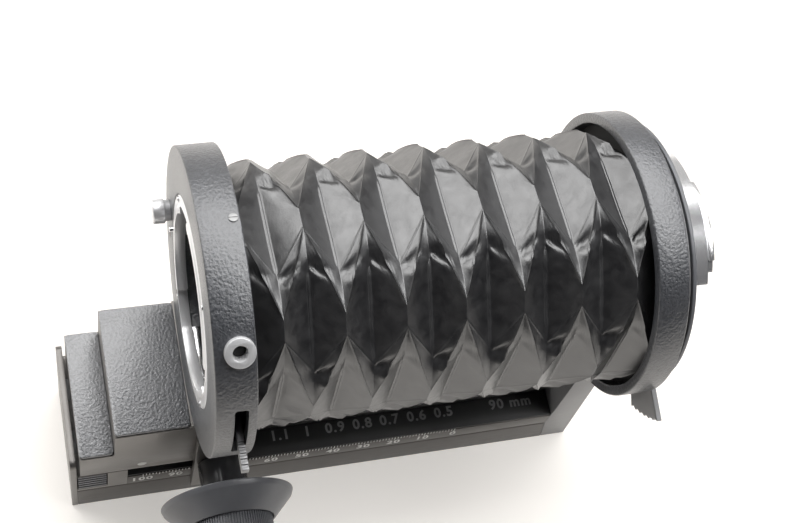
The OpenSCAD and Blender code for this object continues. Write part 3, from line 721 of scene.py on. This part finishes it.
@dataclass
class Rail(Assembly):
    """The base, the rail with its scale, the end parts and the tripod socket."""

    front: float = -19.8
    strip_top: float = 21.7
    strip_edge: float = 0.25
    zero_x: float = 37.9
    scale_length: int = 100
    tick_raised: float = 0.04
    tick_root: float = 0.05
    tick_lengths: Point = (1.3, 1.9, 2.5)
    tick_width: float = 0.24
    digit_z: float = 17.4
    digits: Lettering = Lettering(2.9, True)
    plate_digits: Lettering = Lettering(3.3, False)
    plate_row_y: float = -13.6
    lens_marks: tuple[tuple[str, float], ...] = (
        ("1.1", -56.6), ("1", -47.8), ("0.9", -38.8), ("0.8", -29.8), ("0.7", -20.8), ("0.6", -11.8),
        ("0.5", -2.7), ("90 mm", 20.2))

    def build(self) -> None:
        """Makes the rail's pieces."""
        # the base and rail body take the darkened anodising: painted shade on their sides
        self.edged(
            Body.RAIL, rail_base=("rail", 0.3), rail_body=("rail", 0.12), top_plate=("plate", 0.1),
            guide_bar_front=("guide", 0.2), guide_bar_rear=("guide", 0.2), rack=("steel", 0.06),
            end_block=("anodised", 0.25), end_plate=("anodised", 0.35),
            end_plate_screws=("steel", 0.08), tripod_bush=("chrome", 0.25))
        self.edged(Body.CATCH, end_catch=("gloss", 0.12))
        self._ticks()
        self._numbers()

    def _ticks(self) -> None:
        """Makes the scale's ticks, one each millimetre."""
        parts: list[Piece] = []
        half, top = self.tick_width / 2, self.strip_top - self.strip_edge
        for step in range(self.scale_length + 1):
            length = self.tick_lengths[2 if step % 10 == 0 else 1 if step % 5 == 0 else 0]
            x = self.zero_x - step
            parts.append(Bench.block("tick", (x - half, self.front - self.tick_raised, top - length),
                                     (x + half, self.front + self.tick_root, top)))
        self.settle(Bench.join("scale_ticks", parts), Body.RAIL, "white")

    def _numbers(self) -> None:
        """Makes the scale's numbers and the plain numbers on the top plate."""
        sides = [self.digits.word(str(step), (self.zero_x - step, self.front, self.digit_z))
                 for step in range(0, self.scale_length + 1, 10)]
        self.settle(Bench.join("scale_numbers", sides), Body.RAIL, "white")
        tops = [self.plate_digits.word(text, (x + self.zero_x, self.plate_row_y, self.strip_top))
                for text, x in self.lens_marks]
        self.settle(Bench.join("plate_numbers", tops), Body.RAIL, "grey_mark")


@dataclass
class Carriage(Assembly):
    """The carriage's block, covers, gibs, apron and collar."""

    collar_place: Point = (-39.504, -22.4, 32.0)
    collar_bore: float = 2.55
    collar_r: float = 7.1
    collar_len: float = 11.8

    def build(self) -> None:
        """Makes the carriage's pieces."""
        # the covers take the lightened crinkle paint: painted light on their lit tops
        self.edged(
            Body.CARRIAGE, carriage_body=("anodised", 0.25), carriage_cover=("crinkle", 0.3),
            step_cover=("crinkle", 0.3), slide_gib_front=("plate", 0.1),
            slide_gib_rear=("plate", 0.1), gear_apron=("anodised", 0.4),
            lens_pedestal=("gloss", 0.2), index_dot=("white", 0.05))
        collar = Bench.turned("shaft_collar_turned", [
            (self.collar_bore, 0), (self.collar_r, 0), (self.collar_r, self.collar_len),
            (self.collar_bore, self.collar_len)], self.collar_place, (0, -1, 0), 96)
        Bench.soften(collar, 0.6, 3)
        self.settle(collar, Body.CARRIAGE, "black_gloss", ("shaft_collar",))


@dataclass
class Drive(Assembly):
    """The drive knob, the knurled clamp knob, the shaft and the pinion.

    The outlines are radius and distance from the knob's back. The cap's front edge is given by
    how far its points lie inside the cap's radius and length.
    """

    shaft_x: float = -39.504
    shaft_z: float = 32.0
    knob_y: float = -34.5
    knob_outline: Profile = (
        (2.5, 0), (19.5, 0), (19.8, 0.3), (19.2, 1.8), (15.0, 5.976), (13.4, 7.6), (12.8, 7.6),
        (12.8, 3.8), (2.5, 3.8))
    cap_back: float = 4.1
    cap_r: float = 12.4
    cap_len: float = 13.1
    cap_edge: Profile = ((0.5, 0.9), (1.4, 0.02), (3.2, 0), (3.6, 0.5))
    core_r: float = 0.02
    ribs: int = 96
    rib_half: float = 0.19
    rib_root: float = 0.8
    rib_crest: float = 0.02
    rib_ends: tuple[float, float] = (0.1, 1.2)

    def build(self) -> None:
        """Makes the drive's pieces."""
        knob = Bench.turned("drive_knob_turned", self.knob_outline,
                            (self.shaft_x, self.knob_y, self.shaft_z), (0, -1, 0), 192)
        Bench.soften(knob, 0.3, 3, 18)
        self.settle(knob, Body.DRIVE, "gloss", ("drive_knob",), 40)
        self.edged(Body.DRIVE, drive_shaft=("steel", 0.1), pinion=("steel", 0.08))
        self._clamp()
        self.edged(Body.CLAMP, clamp_rod=("steel", 0.1), clamp_screw=("chrome", 0.08))

    def _clamp(self) -> None:
        """Makes the knurled clamp knob: a turned cap with ribs round it."""
        origin = (self.shaft_x, self.knob_y - self.cap_back, self.shaft_z)
        inset, drop = self.cap_edge[0][0], self.cap_edge[-1][1]
        cap = Bench.turned("clamp_knob_knurled", [
            (self.core_r, 0), (self.cap_r - inset, 0),
            *((self.cap_r - inward, self.cap_len - back) for inward, back in self.cap_edge),
            (self.core_r, self.cap_len - drop)], origin, (0, -1, 0), self.ribs)
        Bench.soften(cap, 0.15, 2, 20)
        parts = [cap]
        near, far = self.rib_ends
        rib = Bench.block("rib", (-self.rib_half, -(self.cap_len - far), self.cap_r - self.rib_root),
                          (self.rib_half, -near, self.cap_r - self.rib_crest))
        Bench.soften(rib, 0.1)
        for index in range(self.ribs):
            copy = bpy.data.objects.new("rib", rib.data.copy())
            bpy.context.scene.collection.objects.link(copy)
            turn = Matrix.Rotation(math.tau * index / self.ribs, 4, "Y")
            copy.data.transform(Matrix.Translation(origin) @ turn)
            parts.append(copy)
        bpy.data.objects.remove(rib)
        self.settle(Bench.join("clamp_knob_knurled", parts), Body.CLAMP, "gloss", ("clamp_knob",))


@dataclass
class LensStandard(Assembly):
    """The lens ring with its bayonet, button, socket, screws and stop-down lever."""

    axis_h: float = 101.0
    face_x: float = -49.5
    ring_outline: Profile = (
        (26.2, 7.9), (26.2, 2.7), (28.4, 2.7), (28.4, 0), (41.2, 0), (41.2, 10.5), (38.0, 10.5),
        (38.0, 3.0), (29.35, 3.0), (29.35, 7.9))
    button_angle: float = -17.0
    button_holes: tuple[Point, ...] = ((34.6, 3.05, 5.0), (27.05, 0.85, 12.0))
    socket_angle: float = 132.7
    socket_x: float = 6.3
    socket_r: float = 2.9
    socket_drill: tuple[float, float] = (36, 46)
    # a near-black disc deep in the cable socket: painted shade in the hole
    floor_r: float = 1.85
    floor_reach: tuple[float, float] = (38.4, 39.4)
    slot_low: Point = (-44.8, -48, -9)
    slot_high: Point = (-41.3, -33, 11.4)
    slot_lift: float = 5.0
    lever_inset: float = 0.8
    lever_slim: float = 0.62

    def build(self) -> None:
        """Makes the lens standard's pieces."""
        self._ring()
        self.edged(
            Body.CARRIAGE, lens_bayonet=("satin", 0.15), bayonet_springs=("chrome", 0.1),
            bayonet_screws=("chrome", 0.05), cable_socket=("satin", 0.3), rim_screws=("guide", 0.06),
            mount_index=("red", 0.05), bellows_front_frame=("inner", 0.1))
        self.edged(Body.RELEASE, release_button=("satin", 0.25), lock_pin=("chrome", 0.15),
                     lock_link=("steel", 0.1))
        self.edged(Body.STOP_DOWN, stop_down_ring=("inner", 0.1))
        lever = Bench.cad_copy("stop_down_lever")
        low = min(vertex.co.x for vertex in lever.data.vertices)
        lever.data.transform(Matrix.Translation((low + self.lever_inset, 0, 0)) @ Matrix.Scale(
            self.lever_slim, 4, (1, 0, 0)) @ Matrix.Translation((-low, 0, 0)))
        Bench.soften(lever, 0.12)
        self.settle(lever, Body.STOP_DOWN, "grey", ("stop_down_lever",))

    def _ring(self) -> None:
        """Dresses the lens ring as a smooth turned casting with its slot and holes, and a near-black
        disc of painted shade in the socket.
        """
        ring = Bench.turned("lens_ring_turned", self.ring_outline,
                            (self.face_x, 0, self.axis_h), (1, 0, 0), 240)
        Bench.soften(ring, 0.45, 3)
        angle = math.radians(self.button_angle)
        for reach, radius, depth in self.button_holes:
            y, z = reach * math.cos(angle), self.axis_h + reach * math.sin(angle)
            start, end = (self.face_x - 1, y, z), (self.face_x + depth, y, z)
            Bench.cut(ring, Bench.rod("drill", start, end, radius, 40))
        angle = math.radians(self.socket_angle)
        along = Vector((0, math.cos(angle), math.sin(angle)))
        middle = Vector((self.face_x + self.socket_x, 0, self.axis_h))
        start, end = (middle + along * reach for reach in self.socket_drill)
        Bench.cut(ring, Bench.rod("drill", start, end, self.socket_r, 40))
        slot = Bench.block("slot", self.slot_low, self.slot_high)
        slot.data.transform(Matrix.Translation((0, 0, self.axis_h + self.slot_lift)))
        Bench.soften(slot, 0.8, 4)
        Bench.cut(ring, slot)
        # the lens ring takes the darkened crinkle copy: painted shade
        self.settle(ring, Body.CARRIAGE, "ring_crinkle_painted_shade", ("lens_ring",))
        # near-black disc in the cable socket's bore: painted shade, where the deep hole is dark
        start, end = (middle + along * reach for reach in self.floor_reach)
        shade_disc = Bench.rod("socket_shade_disc", start, end, self.floor_r, 32)
        self.settle(shade_disc, Body.CARRIAGE, "inner")


@dataclass
class CameraStandard(Assembly):
    """The post, the camera ring, the lock ring and the rotating camera mount."""

    axis_h: float = 101.0
    front_x: float = 66.15
    back_x: float = 74.9
    ring_r: float = 40.2
    wall: float = 3.0
    lip_r: float = 31.65
    web: float = 2.5
    flange_x: float = 72.1
    flange_outline: Profile = (
        (24.4, 0), (31.6, 0), (31.6, 5.0), (37.4, 5.0), (37.4, 6.1), (24.4, 6.1))

    def build(self) -> None:
        """Makes the camera standard's pieces."""
        depth = self.back_x - self.front_x
        inner = self.ring_r - self.wall
        ring = Bench.turned("camera_ring_turned", [
            (inner, 0), (self.ring_r, 0), (self.ring_r, depth), (self.lip_r, depth),
            (self.lip_r, depth - self.web), (inner, depth - self.web)],
            (self.front_x, 0, self.axis_h), (1, 0, 0), 240)
        Bench.soften(ring, 0.45, 3)
        # the camera ring takes the darkened crinkle copy: painted shade
        self.settle(ring, Body.RAIL, "ring_crinkle_painted_shade", ("camera_ring",))
        flange = Bench.turned("rotating_flange_turned", self.flange_outline,
                              (self.flange_x, 0, self.axis_h), (1, 0, 0), 240)
        Bench.soften(flange, 0.2)
        self.settle(flange, Body.MOUNT, "gloss", ("rotating_flange",))
        self.edged(Body.RAIL, camera_post=("grey", 0.5), post_screws=("chrome", 0.1),
                     bellows_rear_frame=("inner", 0.1))
        self.edged(Body.LOCK, lock_ring=("grey", 0.2))
        self.edged(Body.MOUNT, mount_retainer=("inner", 0.1), camera_mount=("mount", 0.2),
                     male_bayonet=("mount", 0.2), mount_screws=("chrome", 0.05))


@dataclass(frozen=True)
class Dent:
    """One soft hollow or bump at a crease's end."""

    height: float
    past: float
    aside: float
    run: float
    width: float
    power: int = 2
    slant: float = 0.0

    def rise(self, t: float, x: float) -> float:
        """Gives its height at t past the crease's end and x to the side."""
        t += self.slant * (x - self.aside)
        past, aside = abs((t - self.past) / self.run), abs((x - self.aside) / self.width)
        return self.height * math.exp(-past ** self.power - aside ** self.power)


@dataclass
class Bellows(Assembly):
    """The folded skin: eight sides that stand and sink by turns along the axis."""

    start_x: float = -39.0
    end_x: float = 69.83
    axis_h: float = 101.0
    travel: float = 100.0
    folds: int = 7
    sides: int = 8
    ridge_r: float = 35.7
    ridge_half: float = 2.9
    valley_r: float = 30.4
    pinch_half: float = 13.2
    turn: float = -5.0
    lining: float = 1.5
    bead: float = 0.46
    bead_half: float = 0.46
    bead_shift: float = 0.14
    bead_start: float = 0.3
    bead_fade: float = 2.0
    edge_bead: float = 0.13
    edge_half: float = 0.45
    bulge: float = 0.31
    fold_lift: float = 1.2
    longest: float = 10.5
    end_fade: float = 3.0
    waves: tuple[tuple[float, float, Point], ...] = ((0.11, 0.35, (0, 0, 0)), (0.31, 0.13, (7, 3, 1)))
    along: tuple[float, ...] = (0.0, 0.02, 0.045, 0.075, 0.11, 0.16, 0.22, 0.30, 0.40, 0.5)
    across: tuple[float, ...] = (0.0, 0.012, 0.03, 0.06, 0.10, 0.15, 0.22, 0.35, 0.5)
    corner: tuple[float, ...] = (0.0, 0.05, 0.10, 0.16, 0.22, 0.30, 0.42, 0.60, 0.80, 0.95, 1.0)
    dents: tuple[Dent, ...] = (
        Dent(-1.3, 0.3, 2.7, 1.15, 2.0, 3, 0.4), Dent(0.9, 3.0, 2.5, 1.15, 1.3),
        Dent(-0.2, 0.2, -2.2, 0.9, 1.3))
    dents_reach: float = 6.0
    dents_seed: int = 11
    dents_sizes: tuple[float, float] = (0.7, 1.15)
    strong_sides: int = 2
    weak_share: float = 0.45
    pinches: list[tuple[Vector, Vector, float]] = field(default_factory=list)

    @property
    def step(self) -> float:
        """The length of half a fold."""
        return (self.end_x - self.start_x) / (2 * self.folds)

    def build(self) -> None:
        """Makes the bellows."""
        tree = self._find_pinches()
        piece = self._skin(tree)
        self.settle(piece, Body.RAIL, "leather", ("bellows",), 75)
        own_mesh(piece)

    def _angle(self, side: int) -> float:
        """Gives a side's direction in radians."""
        return math.radians(90 + self.turn + side * 360 / self.sides)

    def _sunk(self, station: int, side: int) -> bool:
        """Tells whether a side has its valley at a station."""
        return (side + station) % 2 == 1

    def _corner(self, station: int, side: int, end: int) -> Vector:
        """Gives a corner of a fold's section.

        Args:
            station: which half fold it is on.
            side: which side it is on.
            end: the side's end, -1 or 1.

        Returns:
            The point.
        """
        sunk = self._sunk(station, side)
        reach, half = (self.valley_r, self.pinch_half) if sunk else (self.ridge_r, self.ridge_half)
        a = self._angle(side)
        y = reach * math.cos(a) - end * half * math.sin(a)
        z = self.axis_h + reach * math.sin(a) + end * half * math.cos(a)
        return Vector((self.start_x + station * self.step, y, z))

    def _find_pinches(self) -> KDTree:
        """Lists the ends of the valley creases, where the skin puckers.

        Returns:
            A tree of their places.
        """
        chance = random.Random(self.dents_seed)
        for station in range(2 * self.folds + 1):
            for side in range(self.sides):
                if not self._sunk(station, side):
                    continue
                a = self._angle(side)
                for end in (-1, 1):
                    tangent = Vector((0, -math.sin(a), math.cos(a))) * end
                    share = 1.0 if side < self.strong_sides else self.weak_share
                    size = chance.uniform(*self.dents_sizes) * share
                    self.pinches.append((self._corner(station, side, end), tangent, size))
        tree = KDTree(len(self.pinches))
        for index, (place, _, _) in enumerate(self.pinches):
            tree.insert(place, index)
        tree.balance()
        return tree

    @staticmethod
    def _mirrored(half: tuple[float, ...]) -> list[float]:
        """Completes a row of fractions up to a half with its mirror image."""
        return list(half) + [1 - f for f in reversed(half[:-1])]

    def _section(self, station: int, v: float) -> list[tuple[Vector, float, float]]:
        """Gives the plain section at a fraction of a half fold.

        Args:
            station: the half fold's number.
            v: the fraction of it, from 0 to 1.

        Returns:
            For each column the point, its distance from the nearest fold that stands proud, and
            how far along a side it is from the side's nearer end (negative outside a side).
        """
        def run(here: tuple[int, int], there: tuple[int, int]) -> Vector:
            """Gives a point between a corner of this station and one of the next."""
            return self._corner(station, *here).lerp(self._corner(station + 1, *there), v)

        ring: list[tuple[Vector, float, float]] = []
        for side in range(self.sides):
            near, far, after = (side, -1), (side, 1), ((side + 1) % self.sides, -1)
            low, high, then = run(near, near), run(far, far), run(after, after)
            fold = run(after, far) if self._sunk(station, side) else run(far, after)
            outward = Vector((0, fold.y, fold.z - self.axis_h)).normalized()
            fold = fold + outward * self.fold_lift * 4 * v * (1 - v)
            width, first, second = (high - low).length, (fold - high).length, (then - fold).length
            for f in self._mirrored(self.across)[:-1]:
                ring.append((low.lerp(high, f), (1 - f) * width, min(f, 1 - f) * width))
            for f in self.corner[:-1]:
                ring.append((self._bulged(high.lerp(fold, f), f, first), min(f, 1 - f) * first,
                             -1.0 if f else 0.0))
            for f in reversed(self.corner[1:]):
                ring.append((self._bulged(then.lerp(fold, f), f, second), (1 - f) * second, -1.0))
        return ring

    def _bulged(self, place: Vector, f: float, length: float) -> Vector:
        """Lifts a point between two sides, so that the sides run smoothly up to the slanting folds.

        Args:
            place: the point.
            f: the fraction of the way from the side's end to the slanting fold.
            length: the whole way.

        Returns:
            The lifted point.
        """
        radial = Vector((0, place.y, place.z - self.axis_h)).normalized()
        return place + radial * self.bulge * (length / self.longest) ** 2 * length * f * (1 - f)

    def _relief(self, station: int, v: float, column: int, spot: tuple[Vector, float, float],
                tree: KDTree) -> float:
        """Gives how far the real skin stands out from the plain folds.

        Args:
            station: the half fold's number.
            v: the fraction of it.
            column: the column of the section.
            spot: the point, its distance from a fold and how far it is along its side.
            tree: the creases' ends.

        Returns:
            The height in millimetres.
        """
        co, off, inside = spot
        rise = sum(noise.noise(co * per_mm + Vector(shift)) * size
                   for per_mm, size, shift in self.waves)
        side = column // (2 * (len(self.across) + len(self.corner) - 2))
        nearest = station + round(v)
        x = (v - round(v)) * self.step
        if inside >= 0 and self._sunk(nearest, side):
            fade = max(0.0, min(1.0, (inside - self.bead_start) / self.bead_fade))
            rise += fade * self.bead * max(0.0, 1 - abs(x + self.bead_shift) / self.bead_half)
        rise += self.edge_bead * max(0.0, 1 - off / self.edge_half)
        for place, index, _ in tree.find_range(co, self.dents_reach):
            _, tangent, size = self.pinches[index]
            away = co - place
            rise += size * sum(dent.rise(away.dot(tangent), away.x) for dent in self.dents)
        return rise

    def _skin(self, tree: KDTree) -> Piece:
        """Makes the skin: a finely divided outside and a plain lining.

        Args:
            tree: the creases' ends.

        Returns:
            The skin.
        """
        mesh = bmesh.new()
        outside: list[list[bmesh.types.BMVert]] = []
        lining: list[list[bmesh.types.BMVert]] = []
        for station in range(2 * self.folds):
            fractions = self._mirrored(self.along)
            for v in fractions if station == 2 * self.folds - 1 else fractions[:-1]:
                ring: list[bmesh.types.BMVert] = []
                under: list[bmesh.types.BMVert] = []
                for column, spot in enumerate(self._section(station, v)):
                    co = spot[0]
                    radial = Vector((0, co.y, co.z - self.axis_h)).normalized()
                    inward = min(co.x - self.start_x, self.end_x - co.x)
                    fade = max(0.0, min(1.0, inward / self.end_fade))
                    rise = self._relief(station, v, column, spot, tree)
                    ring.append(mesh.verts.new(co + radial * rise * fade))
                    if v in (0.0, 1.0):
                        under.append(mesh.verts.new(co - radial * self.lining))
                outside.append(ring)
                if under:
                    lining.append(under)
        for rows in (outside, lining, [outside[0], lining[0]], [outside[-1], lining[-1]]):
            for now, then in zip(rows, rows[1:]):
                for column, _ in enumerate(now):
                    after = (column + 1) % len(now)
                    mesh.faces.new((now[column], now[after], then[after], then[column]))
        bmesh.ops.remove_doubles(mesh, verts=mesh.verts, dist=0.004)
        bmesh.ops.recalc_face_normals(mesh, faces=mesh.faces)
        data = bpy.data.meshes.new("bellows_skin")
        mesh.to_mesh(data)
        mesh.free()
        piece = bpy.data.objects.new("bellows_skin", data)
        bpy.context.scene.collection.objects.link(piece)
        return piece


@dataclass(frozen=True)
class Softbox:
    """A square lamp that looks at the unit."""

    name: str
    towards: Point
    side: float
    radiance: float
    far: float = 1000.0

    def hang(self, target: Point) -> None:
        """Hangs the lamp.

        Args:
            target: the point that it looks at, in millimetres.
        """
        Bench.clear()
        bpy.ops.object.light_add(type="AREA")
        lamp = bpy.context.active_object
        lamp.name = self.name
        lamp.data.shape = "SQUARE"
        lamp.data.size = self.side
        lamp.data.energy = self.radiance * math.pi * self.side ** 2
        way = Vector(self.towards).normalized()
        lamp.matrix_world = Matrix.LocRotScale(
            (Vector(target) + way * self.far) * MM, way.to_track_quat("Z", "Y"), Vector((1, 1, 1)))


@dataclass
class Studio:
    """The pale table, the softboxes and the photograph's camera."""

    camera_place: Point = (-89.905, -150.655, 437.84)
    right: Point = (0.961356, -0.207031, 0.181473)
    down: Point = (-0.108144, -0.890159, -0.44263)
    forward: Point = (0.253178, 0.4059, -0.878149)
    focal_px: float = 1397.676
    frame_px: int = 785
    sensor_mm: float = 36.0
    target: Point = (0.0, 0.0, 90.0)
    dark_side: Point = (0.35, -0.92, 0.10)
    room_fall: tuple[float, float] = (0.12, 0.62)
    room_light: Point = (0.74, 0.72, 0.69)
    room_dark: Point = (0.055, 0.055, 0.06)
    room_strength: float = 0.62
    table_low: Point = (-900, -700, -20)
    table_high: Point = (900, 900, 0)
    table_tones: tuple[Point, Point] = ((0.89, 0.855, 0.81), (0.93, 0.895, 0.85))
    table_rough: float = 0.7
    glow_share: float = 0.33
    glow_strength: float = 1.4
    glow_colour: Point = (1.0, 0.965, 0.92)
    softboxes: tuple[Softbox, ...] = (
        Softbox("top_softbox", (0.22, 0.38, 0.90), 1.15, 4.2),
        Softbox("left_softbox", (-0.62, 0.57, 0.54), 0.6, 4.8),
        Softbox("mount_softbox", (0.52, -0.24, 0.82), 0.42, 6.0))

    def build(self) -> None:
        """Makes the camera, the table, the world and the lamps."""
        self._camera()
        self._table()
        self._world()
        for softbox in self.softboxes:
            softbox.hang(self.target)

    def _camera(self) -> None:
        """Places the camera as the photograph was taken."""
        Bench.clear()
        bpy.ops.object.camera_add()
        camera = bpy.context.active_object
        camera.name = "photo_camera"
        r, d, f = (Vector(v) for v in (self.right, self.down, self.forward))
        rows = Matrix((r, -d, -f)).transposed().to_4x4()
        rows.translation = Vector(self.camera_place) * MM
        camera.matrix_world = rows
        camera.data.sensor_width = self.sensor_mm
        camera.data.lens = self.sensor_mm * self.focal_px / self.frame_px
        camera.data.clip_start = 0.01
        camera.data.clip_end = 20.0
        bpy.context.scene.camera = camera

    def _table(self) -> None:
        """Lays the pale table, which glows a little to camera, gloss and glass, like lit paper."""
        table = Bench.block("table", self.table_low, self.table_high)
        table.data.transform(Matrix.Scale(MM, 4))
        recipe = Recipe("table_white")
        cloud = recipe.noise(0.004, detail=2.0, rough=0.5)
        recipe.ramp("Base Color", cloud, 0.3, 0.7, *self.table_tones)
        recipe.set(Roughness=self.table_rough)
        tree = recipe.tree
        colour = (*self.glow_colour, 1.0)
        glow = add_node(tree, "Emission", Strength=self.glow_strength, Color=colour)
        mix = add_node(tree, "MixShader")
        path = add_node(tree, "LightPath")
        seen = path.outputs["Is Camera Ray"]
        for ray in ("Is Glossy Ray", "Is Transmission Ray"):
            seen = recipe.math("MAXIMUM", seen, path.outputs[ray])
        recipe.wire(recipe.math("MULTIPLY", seen, self.glow_share), mix.inputs["Fac"])
        recipe.wire(recipe.shader.outputs["BSDF"], mix.inputs[1])
        recipe.wire(glow.outputs["Emission"], mix.inputs[2])
        recipe.wire(mix.outputs["Shader"], tree.nodes["Material Output"].inputs["Surface"])
        table.data.materials.append(recipe.material)

    def _world(self) -> None:
        """Makes the room: white to the camera, darker on the viewer's side in reflections."""
        world = bpy.data.worlds.new("room")
        bpy.context.scene.world = world
        world.use_nodes = True
        tree = world.node_tree
        wire = tree.links.new
        coords = add_node(tree, "TexCoord")
        dot = add_node(tree, "VectorMath")
        dot.operation = "DOT_PRODUCT"
        dot.inputs[1].default_value = Vector(self.dark_side).normalized()
        wire(coords.outputs["Generated"], dot.inputs[0])
        spread = add_node(tree, "MapRange", From_Min=-1.0)
        wire(dot.outputs["Value"], spread.inputs["Value"])
        ramp = add_ramp(
            tree, spread.outputs["Result"], *self.room_fall, self.room_light, self.room_dark)
        ramp.color_ramp.interpolation = "EASE"
        back = tree.nodes["Background"]
        back.inputs["Strength"].default_value = self.room_strength
        wire(ramp.outputs["Color"], back.inputs["Color"])
        white = add_node(tree, "Background")
        mix = add_node(tree, "MixShader")
        wire(add_node(tree, "LightPath").outputs["Is Camera Ray"], mix.inputs["Fac"])
        wire(back.outputs["Background"], mix.inputs[1])
        wire(white.outputs["Background"], mix.inputs[2])
        wire(mix.outputs["Shader"], tree.nodes["World Output"].inputs["Surface"])


def main() -> None:
    """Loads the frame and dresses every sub-assembly."""
    logging.basicConfig(level=logging.INFO, format="%(message)s")
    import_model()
    bpy.context.scene.view_settings.view_transform = "Standard"
    Studio().build()
    palette = Palette()
    for kind in (Rail, Carriage, Drive, LensStandard, CameraStandard, Bellows):
        LOG.info("building the %s", kind.__name__)
        kind(palette).build()


if __name__ == "__main__":
    main()
